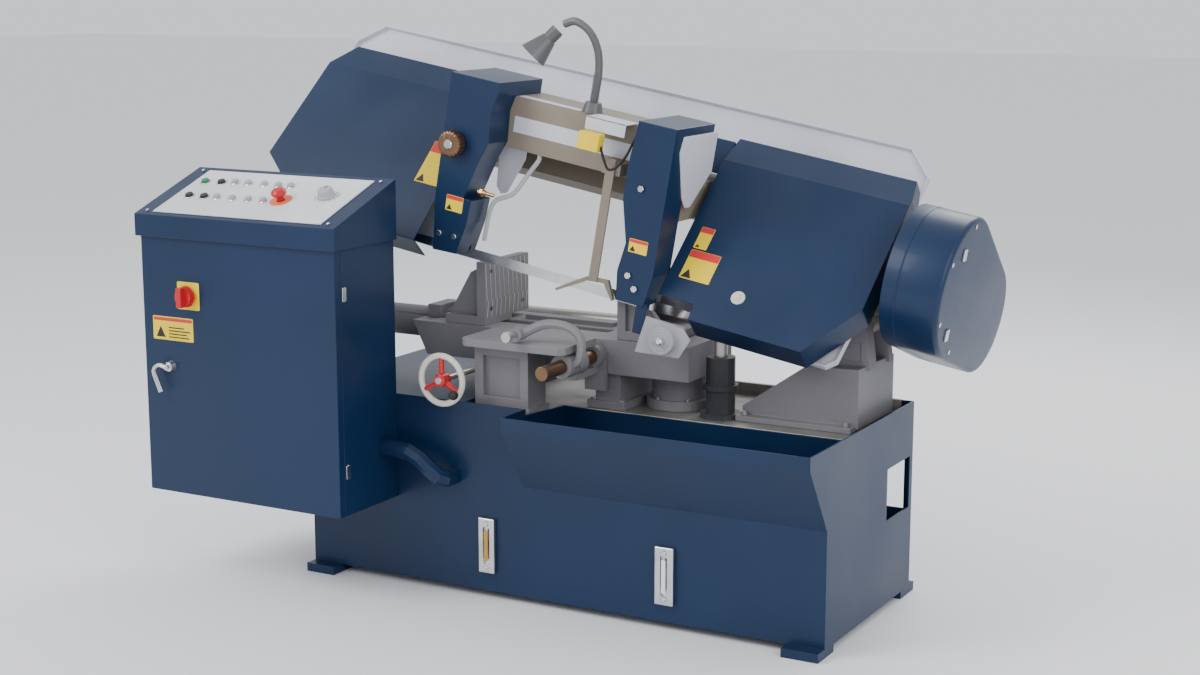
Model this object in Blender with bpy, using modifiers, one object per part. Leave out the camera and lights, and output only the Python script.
"""Semi-automatic horizontal band saw.

Base coordinates: the origin is the front-bottom-left corner of the base cabinet, +X to the right,
+Y to the back, +Z up. The saw arm has a frame of its own on its pivot: s along the arm, Y across,
w up. The band wheels lie in a plane tilted back from the arm: s along, q to the back, v up it.
An empty shifts the whole machine, so that the world origin is under the middle of it.
"""
import math

import bmesh
import bpy
from mathutils import Matrix, Vector

# Whole machine
MACHINE_SHIFT = (-0.6603, -0.2026, 0.020)
GAP = 0.0003
SHEET = 0.004
THIN_SHEET = 0.003

# Base cabinet, bed and chip tray
BASE_LENGTH = 1.4388
BASE_DEPTH = 0.547
WALL_TOP = 0.4756
BED_LEVEL = 0.4495
BED_THICKNESS = 0.012
BED_UNDERSIDE = BED_LEVEL - BED_THICKNESS
DECK_END = 0.470
FOOT_HEIGHT = 0.020
TRAY_START = 0.6416
TRAY_REACH = 0.1064
TRAY_RIM = 0.0314
TRAY_FOOT = 0.2802
TRAY_BACK = 0.1884

# Control console
CONSOLE_LEFT = -0.3307
CONSOLE_RIGHT = 0.2693
CONSOLE_FRONT = -0.2464
DOOR_BACK = -0.2248
CONSOLE_BOTTOM = 0.2094
CONSOLE_TOP = 0.8657
HOOD_OVERHANG = 0.010
HOOD_FRONT = CONSOLE_FRONT - HOOD_OVERHANG
HOOD_BOTTOM = 0.866
HOOD_LIP_TOP = 0.9223
HOOD_BACK_TOP = 1.0163
PANEL_SLOPE = math.atan2(HOOD_BACK_TOP - HOOD_LIP_TOP, -HOOD_FRONT)
PANEL_THICKNESS = 0.0025
BUTTON_RADIUS = 0.0105
BUTTON_PLACES = {
    "start_button": (-0.252, 0.185),
    "stop_button": (-0.200, 0.186),
    "jaw_open_button": (-0.242, 0.105),
    "jaw_close_button": (-0.194, 0.105),
}
EMERGENCY_STOP_PLACE = (0.039, 0.116)
FEED_KNOB_PLACE = (0.155, 0.150)
ISOLATOR_PLACE = (-0.182, 0.723)
DOOR_HANDLE_PLACE = (-0.246, 0.539)

# Vise, table and bar stop
TABLE_TOP = 0.638
TABLE_THICKNESS = 0.019
VISE_TOP = 0.6265
VISE_BOTTOM = 0.540
VISE_FRONT = 0.195
CLAMP_AXIS = (0.300, 0.604)
CLAMP_ROD_RADIUS = 0.012
JAW_FRONT = 0.205
JAW_BACK = 0.420
HANDWHEEL_CENTRE = (0.426, -0.030, 0.532)
HANDWHEEL_RADIUS = 0.060
STOP_AXIS = (0.740, 0.587)
STOP_ROD_RADIUS = 0.0175
STOP_SCREW_AXIS = (0.627, 0.646)
ROLLER_AXIS = (0.478, 0.616)

# Arm and band wheels
PIVOT = (1.360, 0.0, 0.700)
ARM_TILT = math.radians(10.0)
WHEEL_TILT = math.radians(38.75)
BLADE_PLANE = 0.170
BLADE_CENTRE = -0.053
BLADE_WIDTH = 0.027
BLADE_THICKNESS = 0.0011
BAND_RADIUS = 0.200
WHEEL_RADIUS = 0.198
DRIVE_WHEEL_S = -0.190
IDLER_WHEEL_S = -1.410
LEFT_GUIDE_S = -1.030
RIGHT_GUIDE_S = -0.490
PIN_RADIUS = 0.018
BEAM_FRONT = 0.200
BEAM_BACK = 0.330
BEAM_BOTTOM = 0.229
BEAM_TOP = 0.360
COVER_FRONT = -0.050
COVER_BACK = 0.032
COVER_HINGE = (0.034, 0.492)
TRAY_PLATE = (0.050, 0.053)
TRAY_FLANGE_FRONT = 0.035
SPINE = (0.062, 0.100)
GEARBOX_SHAFT = (0.465, 0.130)
MOTOR_SHAFT = (0.580, 0.0385)
DRUM_CIRCLES = (((0.325, 0.1485), 0.170), ((0.555, 0.0385), 0.137))
DRUM_ENDS = (0.110, 0.250)
LIFT_PLACE = (1.045, 0.262)
LAMP_ACROSS = 0.220
LAMP_JOINT = (-0.849, LAMP_ACROSS, 0.542)

# Finishes: colour, roughness, metallic
FINISHES = {
    "navy": ((0.010, 0.036, 0.095), 0.35, 0.0),
    "light_grey": ((0.62, 0.63, 0.69), 0.45, 0.0),
    "tan": ((0.30, 0.26, 0.21), 0.5, 0.1),
    "casting": ((0.17, 0.165, 0.18), 0.55, 0.2),
    "dark": ((0.04, 0.04, 0.05), 0.5, 0.1),
    "steel": ((0.55, 0.54, 0.52), 0.3, 0.9),
    "bronze": ((0.33, 0.18, 0.09), 0.4, 0.6),
    "red": ((0.55, 0.02, 0.02), 0.35, 0.0),
    "green": ((0.02, 0.35, 0.12), 0.35, 0.0),
    "white": ((0.80, 0.81, 0.82), 0.4, 0.0),
}

# Axes that a flat outline is carried along
ALONG = {
    "X": Matrix(((0, 0, 1, 0), (1, 0, 0, 0), (0, 1, 0, 0), (0, 0, 0, 1))),
    "Y": Matrix(((1, 0, 0, 0), (0, 0, -1, 0), (0, 1, 0, 0), (0, 0, 0, 1))),
    "Z": Matrix.Identity(4),
}


def clear_scene():
    """Remove every object, so that the model starts empty."""
    for obj in list(bpy.data.objects):
        bpy.data.objects.remove(obj)


def new_collection(name):
    """Make a collection in the scene."""
    collection = bpy.data.collections.new(name)
    bpy.context.scene.collection.children.link(collection)
    return collection


clear_scene()
PARTS = new_collection("horizontal_band_saw")
GUIDES = new_collection("cutters")


def empty(name, location, rotation=(0.0, 0.0, 0.0), parent=None):
    """Make a frame that parts are placed in."""
    frame = bpy.data.objects.new(name, None)
    PARTS.objects.link(frame)
    frame.parent = parent
    frame.location = location
    frame.rotation_euler = rotation
    return frame


MACHINE = empty("machine", MACHINE_SHIFT)
ARM = empty("arm_axis", PIVOT, (0.0, ARM_TILT, 0.0), MACHINE)
WHEELS = empty("wheel_plane", (0.0, BLADE_PLANE, BLADE_CENTRE), (-WHEEL_TILT, 0.0, 0.0), ARM)
PANEL = empty("panel_slope", (0.0, HOOD_FRONT, HOOD_LIP_TOP), (PANEL_SLOPE, 0.0, 0.0), MACHINE)


# Shapes. Each one starts as a guide; part() turns a guide into a finished part.

def guide(name, data, frame):
    """Put a shape in the cutters collection, in the given frame."""
    obj = bpy.data.objects.new(name, data)
    GUIDES.objects.link(obj)
    obj.parent = frame
    obj.hide_render = True
    obj.display_type = "WIRE"
    return obj


def closed_mesh(obj):
    """Turn a curve, or a mesh with modifiers, into one closed mesh with its faces outwards."""
    graph = bpy.context.evaluated_depsgraph_get()
    mesh = bpy.data.meshes.new_from_object(obj.evaluated_get(graph))
    solid = guide(obj.name, mesh, obj.parent)
    bm = bmesh.new()
    bm.from_mesh(mesh)
    bmesh.ops.remove_doubles(bm, verts=bm.verts, dist=0.00001)
    bmesh.ops.recalc_face_normals(bm, faces=bm.faces)
    bm.to_mesh(mesh)
    bm.free()
    bpy.data.objects.remove(obj)
    return solid


def block(low, high, frame=MACHINE, bevel=0.0):
    """A box between two corners, with its edges rounded by bevel."""
    low, high = Vector(low), Vector(high)
    bm = bmesh.new()
    place = Matrix.Translation((low + high) / 2) @ Matrix.Diagonal((*(high - low), 1.0))
    bmesh.ops.create_cube(bm, size=1.0, matrix=place)
    mesh = bpy.data.meshes.new("block")
    bm.to_mesh(mesh)
    bm.free()
    solid = guide("block", mesh, frame)
    if bevel:
        edges = solid.modifiers.new("Rounded edges", "BEVEL")
        edges.width = bevel
        edges.segments = 2
    return solid


def rod(start, end, radius, frame=MACHINE, end_radius=None, sides=20):
    """A cylinder or a cone between two points."""
    start, end = Vector(start), Vector(end)
    direction = end - start
    turn = direction.to_track_quat("Z", "Y").to_matrix().to_4x4()
    bm = bmesh.new()
    bmesh.ops.create_cone(
        bm, cap_ends=True, segments=sides, radius1=radius,
        radius2=radius if end_radius is None else end_radius, depth=direction.length,
        matrix=Matrix.Translation((start + end) / 2) @ turn)
    mesh = bpy.data.meshes.new("rod")
    bm.to_mesh(mesh)
    bm.free()
    return guide("rod", mesh, frame)


def prism(points, axis, start, end, frame=MACHINE):
    """A flat outline carried along X, Y or Z: points are (Y, Z), (X, Z) or (X, Y)."""
    curve = bpy.data.curves.new("prism", "CURVE")
    curve.dimensions = "2D"
    curve.fill_mode = "BOTH"
    curve.extrude = (end - start) / 2
    spline = curve.splines.new("POLY")
    spline.points.add(len(points) - 1)
    for corner, (a, b) in zip(spline.points, points):
        corner.co = (a, b, 0.0, 1.0)
    spline.use_cyclic_u = True
    solid = closed_mesh(guide("prism", curve, frame))
    middle = (start + end) / 2
    shift = Vector([middle if letter == axis else 0.0 for letter in "XYZ"])
    solid.data.transform(Matrix.Translation(shift) @ ALONG[axis])
    return solid


def smooth_path(points, parts=4):
    """Points on a smooth curve through the given ones, by Catmull-Rom."""
    knots = [Vector(point) for point in points]
    knots = [knots[0] * 2 - knots[1], *knots, knots[-1] * 2 - knots[-2]]
    path = []
    for a, b, c, d in zip(knots, knots[1:], knots[2:], knots[3:]):
        for step in range(parts):
            t = step / parts
            path.append(0.5 * (2 * b + (c - a) * t + (2 * a - 5 * b + 4 * c - d) * t * t
                               + (3 * b - 3 * c + d - a) * t ** 3))
    path.append(knots[-2])
    return path


def tube(points, radius, frame=MACHINE, resolution=2):
    """A round bar along a line of points."""
    curve = bpy.data.curves.new("tube", "CURVE")
    curve.dimensions = "3D"
    curve.bevel_depth = radius
    curve.bevel_resolution = resolution
    curve.use_fill_caps = True
    spline = curve.splines.new("POLY")
    spline.points.add(len(points) - 1)
    for corner, point in zip(spline.points, points):
        corner.co = (*point, 1.0)
    return closed_mesh(guide("tube", curve, frame))


def turned(profile, axis, centre, frame=MACHINE, steps=30):
    """A closed outline of (radius, height) turned round an axis through centre."""
    count = len(profile)
    mesh = bpy.data.meshes.new("turned")
    mesh.from_pydata([(radius, 0.0, height) for radius, height in profile],
                     [(i, (i + 1) % count) for i in range(count)], [])
    outline = guide("turned", mesh, frame)
    screw = outline.modifiers.new("Turned", "SCREW")
    screw.steps = steps
    screw.render_steps = steps
    screw.use_merge_vertices = True
    screw.merge_threshold = 0.00001
    solid = closed_mesh(outline)
    solid.data.transform(Matrix.Translation(centre) @ ALONG[axis])
    return solid


def arc(centre, radius, start, end, parts):
    """Points round part of a circle, from one angle in degrees to another."""
    angles = [math.radians(start + (end - start) * i / parts) for i in range(parts + 1)]
    return [(centre[0] + radius * math.cos(a), centre[1] + radius * math.sin(a)) for a in angles]


def boolean(obj, other, operation):
    """Join, cut or intersect one shape with another."""
    modifier = obj.modifiers.new(operation.title(), "BOOLEAN")
    modifier.operation = operation
    modifier.object = other
    modifier.solver = "EXACT"
    return obj


def finish_material(name, finish):
    """A part's own Principled material."""
    colour, roughness, metallic = FINISHES[finish]
    material = bpy.data.materials.new(name + "_finish")
    material.use_nodes = True
    shader = material.node_tree.nodes["Principled BSDF"]
    shader.inputs["Base Color"].default_value = (*colour, 1.0)
    shader.inputs["Roughness"].default_value = roughness
    shader.inputs["Metallic"].default_value = metallic
    return material


def part(name, body, finish, add=(), cut=(), pivot=None):
    """Finish a part: join and cut shapes, set its origin on its joint's axis, and paint it."""
    GUIDES.objects.unlink(body)
    PARTS.objects.link(body)
    body.name = name
    body.data.name = name
    body.hide_render = False
    body.display_type = "TEXTURED"
    for other in add:
        boolean(body, other, "UNION")
    for other in cut:
        boolean(body, other, "DIFFERENCE")
    if pivot is not None:
        body.data.transform(Matrix.Translation(-Vector(pivot)))
        body.location = pivot
    body.data.shade_smooth()
    body.data.set_sharp_from_angle(angle=math.radians(30.0))
    body.data.materials.append(finish_material(name, finish))
    return body


# Base, bed and what stands inside the cabinet

def tray_outline(inset, depth, top):
    """Cross-section of the chip tray in (Y, Z), drawn in by inset from the cabinet's outside."""
    slope = math.atan2(WALL_TOP - TRAY_RIM - TRAY_FOOT, TRAY_REACH)
    across = inset / math.sin(slope)
    rise = (across - inset) * math.tan(slope)
    return [
        (inset - TRAY_REACH, top),
        (inset - TRAY_REACH, WALL_TOP - TRAY_RIM + rise),
        (across, TRAY_FOOT),
        (across, depth),
    ]


def make_base_cabinet():
    """Welded cabinet with a flared chip tray, four feet and a window in its right wall."""
    shell = block((0.0, 0.0, 0.0), (BASE_LENGTH, BASE_DEPTH, WALL_TOP))
    flare = prism([(-TRAY_REACH, WALL_TOP), (-TRAY_REACH, WALL_TOP - TRAY_RIM), (0.0, TRAY_FOOT),
                   (0.010, TRAY_FOOT), (0.010, WALL_TOP)], "X", TRAY_START, BASE_LENGTH)
    feet = []
    for left, right in ((0.0, 0.085), (1.345, 1.438)):
        for front, back in ((-0.036, 0.055), (BASE_DEPTH - 0.055, BASE_DEPTH + 0.036)):
            feet.append(block((left, front, -FOOT_HEIGHT), (right, back, 0.002)))
    well = block((DECK_END, SHEET, BED_UNDERSIDE - GAP), (BASE_LENGTH - SHEET, BASE_DEPTH - SHEET, 0.5))
    under_deck = block((SHEET, SHEET, SHEET), (DECK_END - SHEET, BASE_DEPTH - SHEET, WALL_TOP - SHEET))
    inside = block((SHEET, SHEET, SHEET),
                   (BASE_LENGTH - SHEET, BASE_DEPTH - SHEET, BED_UNDERSIDE - GAP - SHEET))
    throat = prism([*tray_outline(SHEET, 0.270, 0.5), (TRAY_BACK, 0.270), (TRAY_BACK, 0.5)],
                   "X", TRAY_START + SHEET, BASE_LENGTH - SHEET)
    window = block((BASE_LENGTH - 0.02, 0.375, 0.210), (BASE_LENGTH + 0.01, 0.527, 0.340))
    rear_window = block((BASE_LENGTH - 0.20, BASE_DEPTH - 0.02, 0.200),
                        (BASE_LENGTH - 0.02, BASE_DEPTH + 0.01, 0.330))
    lift_hole = rod((*LIFT_PLACE, 0.40), (*LIFT_PLACE, 0.46), 0.040)
    part("base_cabinet", shell, "navy", [flare, *feet],
         [well, under_deck, inside, throat, window, rear_window, lift_hole])


def make_bed_plate():
    """Machined bed with a low upstand along its back and a hole for the lift cylinder."""
    right = BASE_LENGTH - SHEET - GAP
    front = SHEET + GAP
    back = BASE_DEPTH - SHEET - GAP
    plate = prism([(DECK_END + GAP, front), (TRAY_START, front), (TRAY_START, TRAY_BACK),
                   (right, TRAY_BACK), (right, back), (DECK_END + GAP, back)],
                  "Z", BED_UNDERSIDE, BED_LEVEL)
    upstand = block((0.500, back - 0.016, BED_LEVEL - 0.002), (1.410, back - 0.004, BED_LEVEL + 0.030))
    hole = rod((*LIFT_PLACE, 0.42), (*LIFT_PLACE, 0.47), 0.040)
    part("bed_plate", plate, "steel", [upstand], [hole])


def make_chip_tray():
    """Folded sheet trough that catches chips and coolant."""
    left = TRAY_START + SHEET + GAP
    right = BASE_LENGTH - SHEET - GAP
    wall = SHEET + 2 * GAP
    outer = [*tray_outline(wall, 0.262, WALL_TOP - 0.006), (TRAY_BACK - GAP, 0.250),
             (TRAY_BACK - GAP, BED_LEVEL - 0.001)]
    inner = [*tray_outline(wall + THIN_SHEET, 0.2655, 0.5),
             (TRAY_BACK - GAP - THIN_SHEET, 0.2535), (TRAY_BACK - GAP - THIN_SHEET, 0.5)]
    trough = prism(outer, "X", left, right)
    hollow = prism(inner, "X", left + THIN_SHEET, right - THIN_SHEET)
    part("chip_tray", trough, "navy", cut=[hollow])


def make_tank(name, low, high, filler):
    """A lidded tank with an open filler hole."""
    body = block(low, high)
    hollow = block([value + THIN_SHEET for value in low], [value - THIN_SHEET for value in high])
    hole = rod((*filler, high[2] - 0.02), (*filler, high[2] + 0.01), 0.020, sides=16)
    part(name, body, "light_grey", cut=[hollow, hole])


def make_pump(name, place, floor, radius, top):
    """An upright pump and motor standing on a tank's lid."""
    body = rod((*place, floor), (*place, top), radius)
    flange = rod((*place, floor), (*place, floor + 0.008), radius + 0.010)
    cap = rod((*place, top - 0.010), (*place, top + 0.006), radius * 0.7)
    part(name, body, "dark", [flange, cap])


def make_tanks_and_pumps():
    """Hydraulic tank and pump on the left, coolant tank and pump on the right."""
    make_tank("hydraulic_tank", (0.330, 0.012, SHEET + GAP), (0.720, 0.300, 0.235), (0.380, 0.240))
    make_pump("hydraulic_pump", (0.520, 0.190), 0.235 + GAP, 0.055, 0.400)
    make_tank("coolant_tank", (0.850, 0.012, SHEET + GAP), (1.300, 0.360, 0.225), (1.240, 0.300))
    make_pump("coolant_pump", (1.150, 0.275), 0.225 + GAP, 0.045, 0.390)


def make_level_gauge(name, left, right, bottom, top):
    """Level gauge with a long sight slot and two end caps."""
    body = block((left, -0.014, bottom), (right, -GAP, top), bevel=0.002)
    middle = (left + right) / 2
    slot = block((middle - 0.009, -0.020, bottom + 0.022), (middle + 0.009, -0.006, top - 0.022))
    part(name, body, "steel", cut=[slot])


def make_base():
    """Everything of the base that stands still."""
    make_base_cabinet()
    make_bed_plate()
    make_chip_tray()
    make_tanks_and_pumps()
    make_level_gauge("level_gauge_left", 0.516, 0.561, 0.050, 0.190)
    make_level_gauge("level_gauge_right", 1.008, 1.057, 0.046, 0.188)


# Control console

def make_console_box():
    """Console cabinet with an open front, its mounting plate and the tube that carries it."""
    body = block((CONSOLE_LEFT, DOOR_BACK, CONSOLE_BOTTOM), (CONSOLE_RIGHT, -GAP, CONSOLE_TOP))
    inside = block((CONSOLE_LEFT + THIN_SHEET, DOOR_BACK - 0.05, CONSOLE_BOTTOM + THIN_SHEET),
                   (CONSOLE_RIGHT - THIN_SHEET, -GAP - THIN_SHEET, CONSOLE_TOP + 0.05))
    part("control_cabinet", body, "navy", cut=[inside])
    plate = block((-0.290, -0.014, 0.270), (0.230, -0.0036, 0.820))
    boxes = [block((-0.250, -0.100, 0.640), (-0.120, -0.012, 0.780)),
             block((-0.080, -0.085, 0.660), (0.190, -0.012, 0.750)),
             block((-0.240, -0.070, 0.480), (0.180, -0.012, 0.560)),
             block((-0.240, -0.120, 0.310), (-0.060, -0.012, 0.430)),
             block((0.000, -0.060, 0.320), (0.180, -0.012, 0.400))]
    part("electrical_plate", plate, "steel", boxes)
    route = [(CONSOLE_RIGHT + GAP, -0.060, 0.350), (0.300, -0.060, 0.350), (0.345, -0.060, 0.346),
             (0.378, -0.060, 0.332), (0.405, -0.059, 0.310), (0.425, -0.052, 0.292),
             (0.436, -0.036, 0.285), (0.438, -0.020, 0.283), (0.438, -GAP, 0.283)]
    part("support_tube", tube(route, 0.022), "navy")


def make_console_door():
    """Pan-shaped door, its swing handle and the isolator's knob."""
    pan = block((CONSOLE_LEFT, CONSOLE_FRONT, CONSOLE_BOTTOM), (CONSOLE_RIGHT, DOOR_BACK - GAP, CONSOLE_TOP))
    inside = block((CONSOLE_LEFT + THIN_SHEET, CONSOLE_FRONT + THIN_SHEET, CONSOLE_BOTTOM + THIN_SHEET),
                   (CONSOLE_RIGHT - THIN_SHEET, DOOR_BACK + 0.02, CONSOLE_TOP - THIN_SHEET))
    part("cabinet_door", pan, "navy", cut=[inside], pivot=(CONSOLE_RIGHT + 0.004, DOOR_BACK, 0.0))
    x, z = DOOR_HANDLE_PLACE
    face = CONSOLE_FRONT - GAP
    boss = rod((x, face, z), (x, face - 0.014, z), 0.015, end_radius=0.012)
    stem = rod((x, face - 0.010, z), (x, face - 0.024, z), 0.007, sides=12)
    lever = tube(smooth_path([(x, face - 0.021, z), (x - 0.024, face - 0.022, z + 0.004),
                              (x - 0.040, face - 0.022, z - 0.012), (x - 0.030, face - 0.022, z - 0.040),
                              (x - 0.019, face - 0.022, z - 0.065)], 3), 0.006)
    part("door_handle", boss, "steel", [stem, lever], pivot=(x, face, z))
    x, z = ISOLATOR_PLACE
    shaft = rod((x, face, z), (x, face - 0.014, z), 0.010, sides=16)
    disc = rod((x, face - 0.010, z), (x, face - 0.024, z), 0.0275, end_radius=0.025, sides=32)
    grip = block((x - 0.008, face - 0.040, z - 0.025), (x + 0.008, face - 0.020, z + 0.025), bevel=0.002)
    part("isolator_knob", shaft, "red", [disc, grip], pivot=(x, face, z))


def make_console_hood():
    """Sloping hood, the panel on it and the controls in the panel."""
    left, right = CONSOLE_LEFT - HOOD_OVERHANG, CONSOLE_RIGHT + HOOD_OVERHANG
    back = -GAP
    outer = prism([(HOOD_FRONT, HOOD_BOTTOM), (HOOD_FRONT, HOOD_LIP_TOP), (back, HOOD_BACK_TOP),
                   (back, HOOD_BOTTOM)], "X", left, right)
    wall = THIN_SHEET
    hollow = prism([(HOOD_FRONT + wall, HOOD_BOTTOM + wall), (HOOD_FRONT + wall, HOOD_LIP_TOP - wall * 0.8),
                    (back - wall, HOOD_BACK_TOP - wall * 1.5), (back - wall, HOOD_BOTTOM + wall)],
                   "X", left + wall, right - wall)
    mouth = block((CONSOLE_LEFT + wall, DOOR_BACK, HOOD_BOTTOM - 0.01),
                  (CONSOLE_RIGHT - wall, back - wall, HOOD_BOTTOM + 0.01))
    part("console_hood", outer, "navy", cut=[hollow, mouth])
    top = GAP + PANEL_THICKNESS
    plate = block((-0.290, 0.014, GAP), (0.230, 0.252, top), PANEL)
    places = [*BUTTON_PLACES.values(), EMERGENCY_STOP_PLACE]
    holes = [rod((x, t, -0.01), (x, t, 0.02), BUTTON_RADIUS + 0.0008, PANEL, sides=20) for x, t in places]
    part("control_panel", plate, "white", cut=holes)
    for name, (x, t) in BUTTON_PLACES.items():
        cap = rod((x, t, 0.0036), (x, t, 0.011), BUTTON_RADIUS, PANEL, end_radius=0.0098, sides=20)
        part(name, cap, "green" if name == "start_button" else "dark", pivot=(x, t, 0.0036))
    x, t = EMERGENCY_STOP_PLACE
    stem = rod((x, t, 0.0044), (x, t, 0.020), 0.009, PANEL, sides=20)
    head = turned([(0.004, 0.036), (0.014, 0.034), (0.0195, 0.028), (0.0195, 0.021), (0.014, 0.016),
                   (0.004, 0.016)], "Z", (x, t, 0.0), PANEL, 24)
    core = rod((x, t, 0.017), (x, t, 0.0355), 0.006, PANEL, sides=12)
    part("emergency_stop", stem, "red", [head, core], pivot=(x, t, 0.0044))
    x, t = FEED_KNOB_PLACE
    skirt = rod((x, t, top + GAP), (x, t, 0.009), 0.025, PANEL, sides=32)
    knob = rod((x, t, 0.006), (x, t, 0.026), 0.020, PANEL, end_radius=0.018, sides=32)
    part("feed_knob", skirt, "light_grey", [knob], pivot=(x, t, top + GAP))


# Vise, table and bar stop

def make_vise_bed():
    """Vise casting: two rails with the clamp's slot between them, a leg and a flanged foot."""
    y, z = CLAMP_AXIS
    bed = prism([(0.188, VISE_TOP), (0.231, VISE_BOTTOM), (0.990, VISE_BOTTOM), (0.990, VISE_TOP)],
                "Y", VISE_FRONT, 0.440)
    leg = block((0.390, 0.240, WALL_TOP + GAP), (0.455, 0.400, VISE_BOTTOM + 0.01))
    foot = block((0.706, 0.200, BED_LEVEL + GAP), (0.812, 0.440, 0.470))
    web = block((0.725, 0.210, 0.465), (0.795, 0.420, VISE_BOTTOM + 0.01))
    strip = block((0.437, 0.350, VISE_TOP - 0.002), (0.700, 0.375, TABLE_TOP - 0.0005))
    ears = [block((x, 0.435, VISE_BOTTOM + 0.01), (x + 0.014, 0.505, TABLE_TOP - 0.004))
            for x in (0.300, 0.756)]
    slot = block((0.10, y - 0.020, 0.50), (0.720, y + 0.020, 0.70))
    mouth = block((0.10, y - 0.045, 0.50), (0.245, y + 0.045, 0.70))
    pins = [rod((x, *ROLLER_AXIS), (x + 0.03, *ROLLER_AXIS), 0.008, sides=12) for x in (0.305, 0.735)]
    part("vise_bed", bed, "casting", [leg, foot, web, strip, *ears, *pins], [slot, mouth])
    side_y, side_z = ROLLER_AXIS
    roller = rod((0.3145, side_y, side_z), (0.7555, side_y, side_z), 0.020)
    bore = rod((0.30, side_y, side_z), (0.77, side_y, side_z), 0.0085, sides=12)
    part("feed_roller", roller, "steel", cut=[bore], pivot=(0.3145, side_y, side_z))


def make_clamp():
    """Hydraulic clamp cylinder, and the jaw on its rod."""
    y, z = CLAMP_AXIS
    barrel = rod((-0.105, y, z), (0.240, y, z), 0.041, sides=32)
    bracket = block((0.198, 0.252, VISE_TOP + GAP), (0.238, 0.348, 0.660))
    bore = rod((-0.095, y, z), (0.25, y, z), CLAMP_ROD_RADIUS + 0.001)
    part("vise_cylinder", barrel, "casting", [bracket], [bore])
    plate = block((0.380, JAW_FRONT, TABLE_TOP + 0.002), (0.405, JAW_BACK, 0.790))
    base = block((0.285, JAW_FRONT, VISE_TOP + GAP), (0.405, 0.335, 0.650))
    upper_base = block((0.285, 0.300, TABLE_TOP + 0.002), (0.400, JAW_BACK, 0.655))
    gussets = [prism([(0.285, 0.650), (0.381, 0.650), (0.381, 0.775), (0.350, 0.760)],
                     "Y", front, front + 0.018) for front in (0.225, 0.300, 0.375)]
    keel = block((0.285, y - 0.019, z - 0.016), (0.345, y + 0.019, 0.640))
    piston_rod = rod((-0.060, y, z), (0.290, y, z), CLAMP_ROD_RADIUS)
    part("moving_jaw", plate, "casting", [base, upper_base, *gussets, keel, piston_rod],
         pivot=(0.285, y, z))


def make_fixed_jaw():
    """Fixed jaw on its round turntable."""
    face = block((0.788, JAW_FRONT, VISE_TOP + GAP), (0.812, JAW_BACK, 0.740))
    foot = block((0.788, JAW_FRONT, VISE_TOP + GAP), (0.930, JAW_BACK, 0.650))
    ribs = [prism([(0.810, 0.645), (0.925, 0.645), (0.857, 0.725), (0.810, 0.735)], "Y", front, front + 0.020)
            for front in (0.215, 0.390)]
    part("fixed_jaw", face, "casting", [foot, *ribs])
    column = rod((0.900, 0.330, BED_LEVEL + 0.005), (0.900, 0.330, VISE_BOTTOM - GAP), 0.070, sides=32)
    flange = rod((0.900, 0.330, BED_LEVEL + GAP), (0.900, 0.330, 0.475), 0.084, sides=32)
    part("turntable", column, "casting", [flange])


def make_table():
    """Front table on its box-shaped pedestal."""
    low = TABLE_TOP - TABLE_THICKNESS
    top = prism([(0.484, -0.015), (0.745, -0.015), (0.760, 0.0), (0.760, 0.150), (0.467, 0.150),
                 (0.467, 0.002)], "Z", low, TABLE_TOP)
    pedestal = block((0.480, 0.035, BED_LEVEL + GAP), (0.634, 0.120, low + 0.004))
    foot = block((0.474, 0.028, BED_LEVEL + GAP), (0.640, 0.128, 0.466))
    recess = block((0.505, 0.020, 0.490), (0.610, 0.050, 0.590))
    part("work_table", top, "casting", [pedestal, foot], [recess])


def make_handwheel():
    """Three-spoke handwheel with a crank knob, on the shaft that moves the jaw."""
    x, y, z = HANDWHEEL_CENTRE
    rim = turned([(HANDWHEEL_RADIUS + 0.0075 * c, 0.0075 * s) for c, s in arc((0, 0), 1.0, 0, 300, 5)],
                 "Y", HANDWHEEL_CENTRE, steps=26)
    hub = rod((x, y + 0.016, z), (x, y - 0.014, z), 0.016)
    shaft = rod((x, y + 0.010, z), (x, 0.240 - GAP, z), 0.0075, sides=16)
    spokes = []
    for turn in (90, 210, 330):
        angle = math.radians(turn)
        end = (x + HANDWHEEL_RADIUS * math.cos(angle), y, z + HANDWHEEL_RADIUS * math.sin(angle))
        spokes.append(rod((x, y, z), end, 0.0065, sides=12))
    angle = math.radians(330)
    place = (x + 0.058 * math.cos(angle), z + 0.058 * math.sin(angle))
    crank = rod((place[0], y - 0.004, place[1]), (place[0], y - 0.040, place[1]), 0.006,
                end_radius=0.010, sides=16)
    part("handwheel", hub, "red", [rim, shaft, *spokes, crank], pivot=HANDWHEEL_CENTRE)


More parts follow.
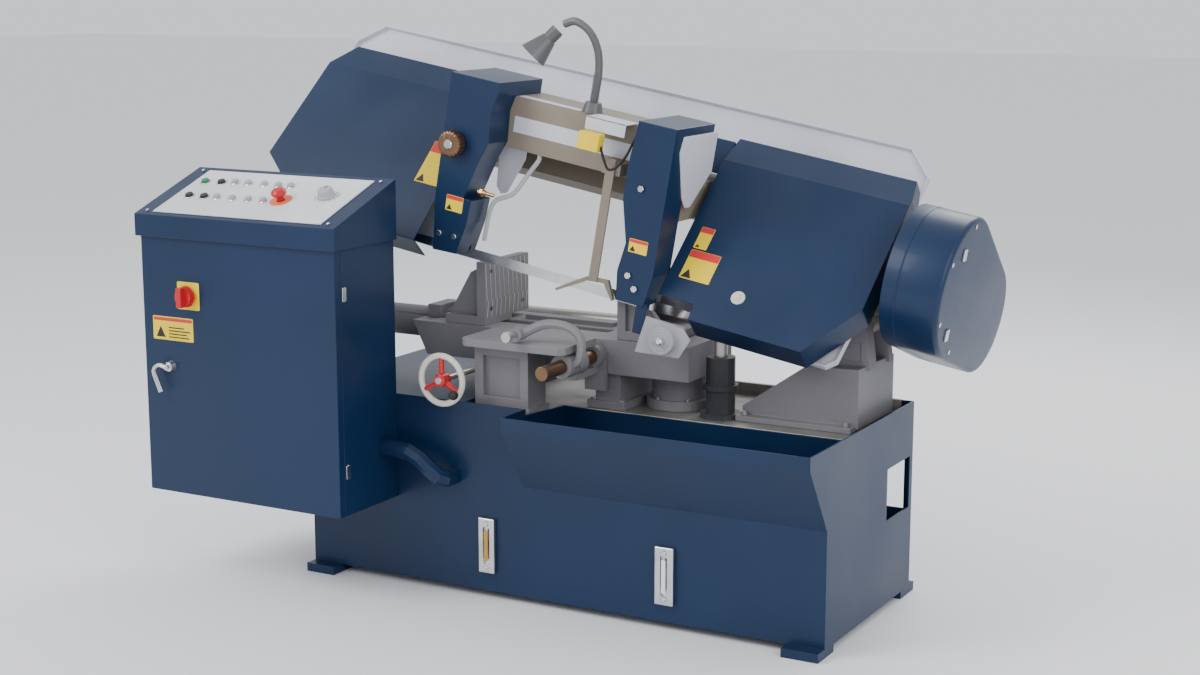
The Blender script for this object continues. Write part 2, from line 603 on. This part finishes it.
def make_bar_stop():
    """Length stop: a bracket on the vise, the bronze bar, a swinging arm and its stop screw."""
    x, z = STOP_AXIS
    bore = rod((x, -0.10, z), (x, 0.30, z), STOP_ROD_RADIUS + GAP)
    front_boss = rod((x, 0.060, z), (x, 0.100, z), 0.029)
    back_boss = rod((x, 0.160, z), (x, VISE_FRONT - GAP, z), 0.029)
    web = block((x - 0.012, 0.065, z - 0.042), (x + 0.012, 0.190, z - 0.024))
    leg = block((x - 0.028, 0.178, 0.500), (x + 0.028, VISE_FRONT - 2 * GAP, z - 0.010))
    part("stop_bracket", front_boss, "casting", [back_boss, web, leg], [bore])
    part("stop_rod", rod((x, -0.080, z), (x, 0.180, z), STOP_ROD_RADIUS), "bronze",
         pivot=(x, -0.080, z))
    ring = rod((x, 0.012, z), (x, 0.052, z), 0.029)
    arch = tube(smooth_path([(x + 0.022, 0.032, z + 0.004), (x + 0.040, 0.032, 0.606), (x + 0.046, 0.032, 0.640),
                             (x + 0.036, 0.031, 0.668), (x, 0.028, 0.686), (x - 0.050, 0.022, 0.686),
                             (x - 0.090, 0.014, 0.668), (x - 0.110, 0.008, 0.655)], 3), 0.0115)
    side, height = STOP_SCREW_AXIS
    lift = 0.014
    screw_boss = rod((side, -0.012, height + lift), (side, 0.018, height + lift), 0.017)
    screw_bore = rod((side, -0.05, height + lift), (side, 0.05, height + lift), 0.0068, sides=16)
    part("stop_arm", ring, "casting", [arch, screw_boss], [bore, screw_bore], pivot=(x, 0.032, z))
    screw = rod((side, -0.045, height + lift), (side, 0.044, height + lift), 0.0062, sides=16)
    head = rod((side, -0.056, height + lift), (side, -0.042, height + lift), 0.013, sides=16)
    part("stop_screw", screw, "steel", [head], pivot=(side, 0.0, height + lift))


# Saw arm

def make_pivot_stand():
    """Casting that carries the arm's pin between two cheeks."""
    px, _, pz = PIVOT
    low = BED_LEVEL + GAP
    flange = block((1.095, 0.240, low), (1.393, 0.520, low + 0.013))
    body = prism([(1.100, low + 0.005), (1.100, 0.482), (1.265, 0.596), (1.400, 0.600), (1.400, low + 0.005)],
                 "Y", 0.270, 0.500)
    cheeks = []
    for front, back in ((0.315, 0.362), (0.443, 0.470)):
        outline = [(1.410, 0.590), *arc((px, pz), 0.036, -10, 190, 10), (1.315, 0.590)]
        cheeks.append(prism(outline, "Y", front, back))
    bore = rod((px, 0.28, pz), (px, 0.50, pz), PIN_RADIUS + GAP)
    pocket = block((1.335, 0.300, 0.610), (1.385, 0.3185, 0.655))
    part("pivot_stand", flange, "casting", [body, *cheeks], [bore, pocket])
    part("pivot_pin", rod((px, 0.300, pz), (px, 0.490, pz), PIN_RADIUS), "steel")


def make_arm_beam():
    """Arm casting: front beam, ties to the rear spine, wheel plates, pin hub and idler axle."""
    beam = block((-1.100, BEAM_FRONT, BEAM_BOTTOM), (-0.440, BEAM_BACK, BEAM_TOP), ARM)
    ties = [block((left, 0.220, 0.150), (right, 0.470, 0.236), ARM)
            for left, right in ((-1.096, -1.050), (-0.500, -0.450))]
    front, back = SPINE
    spine = block((-1.500, front, 0.300), (0.035, back, 0.420), WHEELS)
    idler_plate = block((-1.496, front + 0.002, 0.120), (-1.320, back - 0.002, 0.310), WHEELS)
    drive_plate = block((-0.345, front + 0.002, 0.105), (-0.045, back - 0.002, 0.310), WHEELS)
    hub_link = prism([(0.365, -0.020), (0.440, -0.020), (0.440, 0.045), (0.500, 0.140), (0.460, 0.170),
                      (0.365, 0.070)],
                     "X", -0.035, 0.035, ARM)
    hub = rod((0.0, 0.363, 0.0), (0.0, 0.442, 0.0), 0.040, ARM, sides=32)
    lug = prism([(-0.340, -0.085), (-0.285, -0.085), (-0.285, 0.0), (-0.340, 0.0)], "Y", 0.290, 0.302, ARM)
    axle = rod((IDLER_WHEEL_S, -0.018, BAND_RADIUS), (IDLER_WHEEL_S, 0.070, BAND_RADIUS), 0.0145, WHEELS)
    shoe_guide = block((-0.640, 0.1567, 0.236), (-0.590, 0.205, 0.266), ARM)
    bore = rod((0.0, 0.30, 0.0), (0.0, 0.50, 0.0), PIN_RADIUS + GAP, ARM)
    shaft_hole = rod((DRIVE_WHEEL_S, 0.05, BAND_RADIUS), (DRIVE_WHEEL_S, 0.12, BAND_RADIUS), 0.020, WHEELS)
    input_hole = rod((-0.05, *GEARBOX_SHAFT), (0.05, *GEARBOX_SHAFT), 0.0145, ARM)
    part("arm_beam", beam, "tan",
         [*ties, spine, idler_plate, drive_plate, hub_link, hub, lug, axle, shoe_guide],
         [bore, shaft_hole, input_hole])


def make_back_tray():
    """Flanged sheet behind both wheels, open below the beam."""
    plate_front, plate_back = TRAY_PLATE
    outline = [(-1.650, 0.040), (-1.630, 0.022), (-0.360, 0.022), (-0.345, -0.012), (0.0, -0.012),
               (0.022, 0.010), (0.028, 0.160),
               (0.044, 0.538), (-0.024, 0.605), (-1.600, 0.605), (-1.660, 0.540), (-1.670, 0.120)]
    inner = [(s + (0.003 if s < -0.8 else -0.003), v + (0.003 if v < 0.3 else -0.003)) for s, v in outline]
    pan = prism(outline, "Y", TRAY_FLANGE_FRONT, plate_back, WHEELS)
    hollow = prism(inner, "Y", 0.0, plate_front, WHEELS)
    gap = block((-1.130, 0.0, -0.05), (-0.420, 0.10, 0.435), WHEELS)
    holes = [rod((s, 0.02, BAND_RADIUS), (s, 0.08, BAND_RADIUS), 0.036, WHEELS)
             for s in (DRIVE_WHEEL_S, IDLER_WHEEL_S)]
    part("back_tray", pan, "light_grey", cut=[hollow, gap, *holes])


def make_guides():
    """Left guide column, which slides on the beam, its clamp knob, and the fixed right column."""
    face = 0.110
    back = BEAM_FRONT - GAP
    slot = block((-1.20, BLADE_PLANE - 0.0035, -0.080), (-0.30, BLADE_PLANE + 0.0035, -0.034), ARM)
    left = prism([(-1.070, 0.397), (-1.070, 0.090), (-1.056, -0.053), (-0.986, -0.049), (-0.968, 0.031),
                  (-0.963, 0.093), (-0.988, 0.0935), (-0.956, 0.196), (-0.936, 0.244), (-0.941, 0.320),
                  (-0.928, 0.370), (-0.928, 0.397)], "Y", face, back, ARM)
    hook = block((-1.070, 0.150, BEAM_TOP + GAP), (-0.928, 0.315, 0.397), ARM)
    knob_hole = rod((-1.030, 0.100, 0.225), (-1.030, 0.150, 0.225), 0.0105, ARM, sides=16)
    part("left_guide_arm", left, "navy", [hook], [slot, knob_hole])
    stem = rod((-1.030, 0.112, 0.225), (-1.030, 0.140, 0.225), 0.010, ARM, sides=16)
    knob = rod((-1.030, 0.075, 0.225), (-1.030, 0.1095, 0.225), 0.033, ARM, sides=24)
    joined = rod((-1.030, 0.090, 0.225), (-1.030, 0.120, 0.225), 0.010, ARM, sides=16)
    part("guide_knob", knob, "bronze", [joined, stem], pivot=(-1.030, 0.110, 0.225))
    right = prism([(-0.538, 0.388), (-0.549, 0.271), (-0.547, 0.194), (-0.522, 0.095), (-0.533, 0.024),
                   (-0.525, -0.047), (-0.450, -0.047), (-0.436, 0.030), (-0.436, 0.388)], "Y", face, back, ARM)
    hook = block((-0.538, 0.150, BEAM_TOP + GAP), (-0.436, 0.315, 0.388), ARM)
    arm = block((-0.470, 0.115, -0.115), (-0.443, 0.135, -0.040), ARM)
    part("right_guide_arm", right, "navy", [hook, arm], [slot])


def blade_place(distance):
    """Centre, forward direction and twist of the band at a distance from the drive wheel's foot."""
    straight = DRIVE_WHEEL_S - IDLER_WHEEL_S
    half_turn = math.pi * BAND_RADIUS
    if distance < straight:
        s = DRIVE_WHEEL_S - distance
        left = (s - IDLER_WHEEL_S) / (LEFT_GUIDE_S - IDLER_WHEEL_S)
        right = (DRIVE_WHEEL_S - s) / (DRIVE_WHEEL_S - RIGHT_GUIDE_S)
        return (s, 0.0), (-1.0, 0.0), min(1.0, left, right)
    distance -= straight
    if distance < half_turn:
        angle = -math.pi / 2 - distance / BAND_RADIUS
        centre = (IDLER_WHEEL_S + BAND_RADIUS * math.cos(angle), BAND_RADIUS + BAND_RADIUS * math.sin(angle))
        return centre, (math.sin(angle), -math.cos(angle)), 0.0
    distance -= half_turn
    if distance < straight:
        return (IDLER_WHEEL_S + distance, 2 * BAND_RADIUS), (1.0, 0.0), 0.0
    angle = math.pi / 2 - (distance - straight) / BAND_RADIUS
    centre = (DRIVE_WHEEL_S + BAND_RADIUS * math.cos(angle), BAND_RADIUS + BAND_RADIUS * math.sin(angle))
    return centre, (math.sin(angle), -math.cos(angle)), 0.0


def make_blade():
    """Endless band, lofted through the twist that the guides give its lower run."""
    straight = DRIVE_WHEEL_S - IDLER_WHEEL_S
    half_turn = math.pi * BAND_RADIUS
    twist = math.pi / 2 - WHEEL_TILT
    lower = [straight * i / 14 for i in range(14)]
    left = [straight + half_turn * i / 20 for i in range(20)]
    upper = [straight + half_turn + straight * i / 2 for i in range(2)]
    right = [2 * straight + half_turn + half_turn * i / 20 for i in range(20)]
    bm = bmesh.new()
    rings = []
    for distance in [*left, *upper, *right, *lower]:
        (s, v), (ds, dv), share = blade_place(distance)
        centre = Vector((s, 0.0, v))
        forward = Vector((ds, 0.0, dv))
        width = Matrix.Rotation(-twist * share, 3, "X") @ Vector((0.0, -1.0, 0.0))
        half = width * (BLADE_WIDTH / 2)
        thick = forward.cross(width).normalized() * (BLADE_THICKNESS / 2)
        corners = (half + thick, thick - half, -half - thick, half - thick)
        rings.append([bm.verts.new(centre + corner) for corner in corners])
    for ring, following in zip(rings, rings[1:] + rings[:1]):
        for i in range(4):
            j = (i + 1) % 4
            bm.faces.new((ring[i], ring[j], following[j], following[i]))
    bmesh.ops.recalc_face_normals(bm, faces=bm.faces)
    mesh = bpy.data.meshes.new("blade")
    bm.to_mesh(mesh)
    bm.free()
    part("blade", guide("blade", mesh, WHEELS), "steel")


def make_wheels():
    """The two band wheels. The drive wheel's shaft runs back into the gearbox."""
    half = 0.014
    web = 0.005
    profile = [(WHEEL_RADIUS, half), (WHEEL_RADIUS, -half), (WHEEL_RADIUS - 0.022, -half),
               (WHEEL_RADIUS - 0.026, -web), (0.042, -web), (0.038, -0.018), (0.015, -0.018),
               (0.015, 0.018), (0.038, 0.018), (0.042, web), (WHEEL_RADIUS - 0.026, web),
               (WHEEL_RADIUS - 0.022, half)]
    for name, s in (("drive_wheel", DRIVE_WHEEL_S), ("idler_wheel", IDLER_WHEEL_S)):
        centre = (s, 0.0, BAND_RADIUS)
        wheel = turned(profile, "Y", centre, WHEELS)
        shafts = []
        if name == "drive_wheel":
            shafts.append(rod((s, -0.022, BAND_RADIUS), (s, SPINE[1], BAND_RADIUS), 0.0156, WHEELS))
        part(name, wheel, "casting", shafts, pivot=centre)


def cover_profile(inset):
    """Cross-section of a wheel cover in (q, v), drawn in by inset."""
    front = COVER_FRONT + inset
    top = 0.490 - inset
    return [(front, -0.030 + inset), (front, 0.406 - inset * 0.5), (-0.020 + inset * 0.6, top),
            (COVER_BACK + (0.01 if inset else 0.0), top), (COVER_BACK + (0.01 if inset else 0.0), -0.030 + inset)]


def make_cover(name, outline, inner_outline):
    """Folded wheel cover, open at the back and towards the guides, hinged along its top."""
    shell = prism(cover_profile(0.0), "X", -1.70, 0.10, WHEELS)
    sides = prism(outline, "Y", -0.08, 0.06, WHEELS)
    hollow = prism(cover_profile(THIN_SHEET), "X", -1.70, 0.10, WHEELS)
    boolean(hollow, prism(inner_outline, "Y", -0.08, 0.06, WHEELS), "INTERSECT")
    boolean(shell, sides, "INTERSECT")
    part(name, shell, "navy", cut=[hollow], pivot=(0.0, *COVER_HINGE))


def make_covers():
    """Left and right wheel covers."""
    make_cover("left_cover",
               [(-1.118, -0.030), (-1.520, -0.030), (-1.600, 0.055), (-1.660, 0.099), (-1.637, 0.405),
                (-1.600, 0.495), (-1.118, 0.495)],
               [(-1.100, -0.027), (-1.5185, -0.027), (-1.598, 0.0575), (-1.6565, 0.1015),
                (-1.634, 0.4045), (-1.598, 0.50), (-1.100, 0.50)])
    make_cover("right_cover",
               [(-0.430, 0.495), (-0.430, 0.012), (-0.333, 0.012), (-0.330, -0.030), (-0.038, -0.030),
                (0.060, 0.115), (0.060, 0.420), (0.040, 0.495)],
               [(-0.445, 0.50), (-0.445, -0.028), (-0.0395, -0.028), (0.057, 0.116),
                (0.057, 0.4195), (0.037, 0.50)])


def hull_of_circles(grow, parts=14):
    """Outline of the two drum circles and the straight sides that join them, in (Y, w)."""
    (a, first), (b, second) = DRUM_CIRCLES
    base = math.degrees(math.atan2(b[1] - a[1], b[0] - a[0]))
    spread = math.degrees(math.acos((first - second) / math.dist(a, b)))
    return [*arc(a, first + grow, base + spread, base + 360 - spread, parts),
            *arc(b, second + grow, base - spread, base + spread, parts)]


def make_drive():
    """Gearbox, motor, the two pulleys and the drum-shaped belt cover."""
    gearbox = block((-0.270, SPINE[1] + GAP, 0.140), (-0.110, 0.160, 0.340), WHEELS, bevel=0.006)
    y, w = GEARBOX_SHAFT
    bore = rod((DRIVE_WHEEL_S, 0.09, BAND_RADIUS), (DRIVE_WHEEL_S, 0.11, BAND_RADIUS), 0.017, WHEELS)
    part("gearbox", gearbox, "casting", cut=[bore])
    pulley = rod((0.140, y, w), (0.172, y, w), 0.060, ARM, sides=32)
    shaft = rod((-0.1065, y, w), (0.150, y, w), 0.012, ARM)
    part("gearbox_pulley", pulley, "casting", [shaft], pivot=(0.140, y, w))
    y, w = MOTOR_SHAFT
    motor = rod((-0.200, y, w), (0.100, y, w), 0.085, ARM, sides=32)
    fan_cover = rod((-0.235, y, w), (-0.195, y, w), 0.070, ARM, end_radius=0.080, sides=32)
    bracket = block((-0.100, 0.430, 0.070), (-0.050, 0.530, 0.105), ARM)
    box = block((-0.120, y - 0.040, w + 0.070), (-0.020, y + 0.050, w + 0.115), ARM)
    part("motor", motor, "casting", [fan_cover, bracket, box])
    pulley = rod((0.140, y, w), (0.172, y, w), 0.045, ARM, sides=32)
    shaft = rod((0.100 + GAP, y, w), (0.150, y, w), 0.012, ARM)
    part("motor_pulley", pulley, "casting", [shaft], pivot=(0.140, y, w))
    left, right = DRUM_ENDS
    drum = prism(hull_of_circles(0.0), "X", left, right, ARM)
    hollow = prism(hull_of_circles(-THIN_SHEET), "X", left + THIN_SHEET, right - THIN_SHEET, ARM)
    openings = [rod((left - 0.02, *place), (left + 0.02, *place), 0.030, ARM)
                for place in (GEARBOX_SHAFT, MOTOR_SHAFT)]
    part("belt_cover", drum, "navy", cut=[hollow, *openings])


def make_lift():
    """Hydraulic lift cylinder under the arm, and its rod with a cross eye."""
    x, y = LIFT_PLACE
    barrel = rod((x, y, 0.400), (x, y, 0.600), 0.036)
    flange = rod((x, y, BED_LEVEL + GAP), (x, y, 0.462), 0.050)
    collar = rod((x, y, 0.520), (x, y, 0.532), 0.044)
    bore = rod((x, y, 0.405), (x, y, 0.62), 0.0165)
    part("lift_barrel", barrel, "dark", [flange, collar], [bore])
    ram = rod((x, y, 0.470), (x, y, 0.700), 0.016, sides=20)
    eye = rod((x, 0.254, 0.700), (x, 0.2897, 0.700), 0.0165)
    part("lift_rod", ram, "steel", [eye], pivot=(x, y, 0.470))


def make_sensor_and_brush():
    """Shoe that feels the work, and the chip brush beside the right guide."""
    shoe = prism([(-0.716, -0.074), (-0.666, -0.042), (-0.634, -0.023), (-0.574, -0.018), (-0.553, -0.062),
                  (-0.557, -0.066), (-0.585, -0.028), (-0.632, -0.033), (-0.662, -0.050), (-0.712, -0.079)],
                 "Y", 0.1525, 0.1625, ARM)
    bar = block((-0.627, 0.1505, -0.030), (-0.603, 0.1560, 0.275), ARM)
    part("sensing_shoe", shoe, "tan", [bar], pivot=(-0.615, 0.153, 0.0))
    plate = prism([(-0.447, -0.155), (-0.330, -0.140), (-0.308, -0.090), (-0.330, -0.068), (-0.432, -0.062)],
                  "Y", 0.100, 0.1045, ARM)
    lips = [prism([(-0.4425, -0.150), (-0.436, -0.149), (-0.424, -0.066), (-0.4305, -0.066)], "Y", 0.103, 0.1145, ARM),
            block((-0.424, 0.103, -0.075), (-0.335, 0.128, -0.069), ARM)]
    centre = (-0.377, -0.107)
    rings = [rod((centre[0], 0.084, centre[1]), (centre[0], 0.101, centre[1]), 0.034, ARM, sides=32),
             rod((centre[0], 0.074, centre[1]), (centre[0], 0.090, centre[1]), 0.011, ARM, sides=16)]
    part("brush_housing", plate, "light_grey", [*lips, *rings])
    wheel = rod((centre[0], 0.135, centre[1]), (centre[0], 0.162, centre[1]), 0.030, ARM, sides=24)
    shaft = rod((centre[0], 0.1048, centre[1]), (centre[0], 0.140, centre[1]), 0.006, ARM, sides=12)
    part("brush_wheel", wheel, "steel", [shaft], pivot=(centre[0], 0.135, centre[1]))


def make_lamp():
    """Work lamp: a base and gooseneck on the beam, and a head that tilts on its end."""
    y = LAMP_ACROSS
    base = rod((-0.723, y, BEAM_TOP + GAP), (-0.723, y, 0.386), 0.026, ARM, end_radius=0.020)
    neck = tube(smooth_path([(-0.723, y, 0.380), (-0.722, y, 0.415), (-0.722, y, 0.460), (-0.733, y, 0.510),
                             (-0.762, y, 0.550), (-0.805, y, 0.568), (-0.836, y, 0.556)], 4), 0.010, ARM)
    part("lamp_neck", base, "dark", [neck])
    s, _, w = LAMP_JOINT
    direction = Vector((-0.042, -0.030, -0.070)).normalized()
    start = Vector(LAMP_JOINT) + direction * 0.004
    socket = rod(start, start + direction * 0.040, 0.017, ARM)
    shade = rod(start + direction * 0.030, start + direction * 0.088, 0.019, ARM, end_radius=0.037, sides=32)
    hollow = rod(start + direction * 0.050, start + direction * 0.0881, 0.019, ARM, end_radius=0.034, sides=32)
    part("lamp_head", socket, "dark", [shade], [hollow], pivot=LAMP_JOINT)


def make_coolant_line():
    """Coolant hose from the beam down to the left guide's block."""
    y = 0.215
    route = [(-0.849, y, BEAM_BOTTOM - 0.0025), (-0.849, y, 0.212), (-0.872, 0.213, 0.172),
             (-0.889, 0.207, 0.135), (-0.903, 0.202, 0.114), (-0.925, 0.196, 0.101),
             (-0.943, 0.190, 0.088), (-0.951, 0.186, 0.060), (-0.952, 0.184, 0.025),
             (-0.953, 0.182, -0.015)]
    part("coolant_hose", tube(smooth_path(route, 3), 0.006, ARM), "light_grey")


def make_machine():
    """Build every part."""
    make_base()
    make_console_box()
    make_console_door()
    make_console_hood()
    make_vise_bed()
    make_clamp()
    make_fixed_jaw()
    make_table()
    make_handwheel()
    make_bar_stop()
    make_pivot_stand()
    make_arm_beam()
    make_back_tray()
    make_guides()
    make_blade()
    make_wheels()
    make_covers()
    make_drive()
    make_lift()
    make_sensor_and_brush()
    make_lamp()
    make_coolant_line()


make_machine()
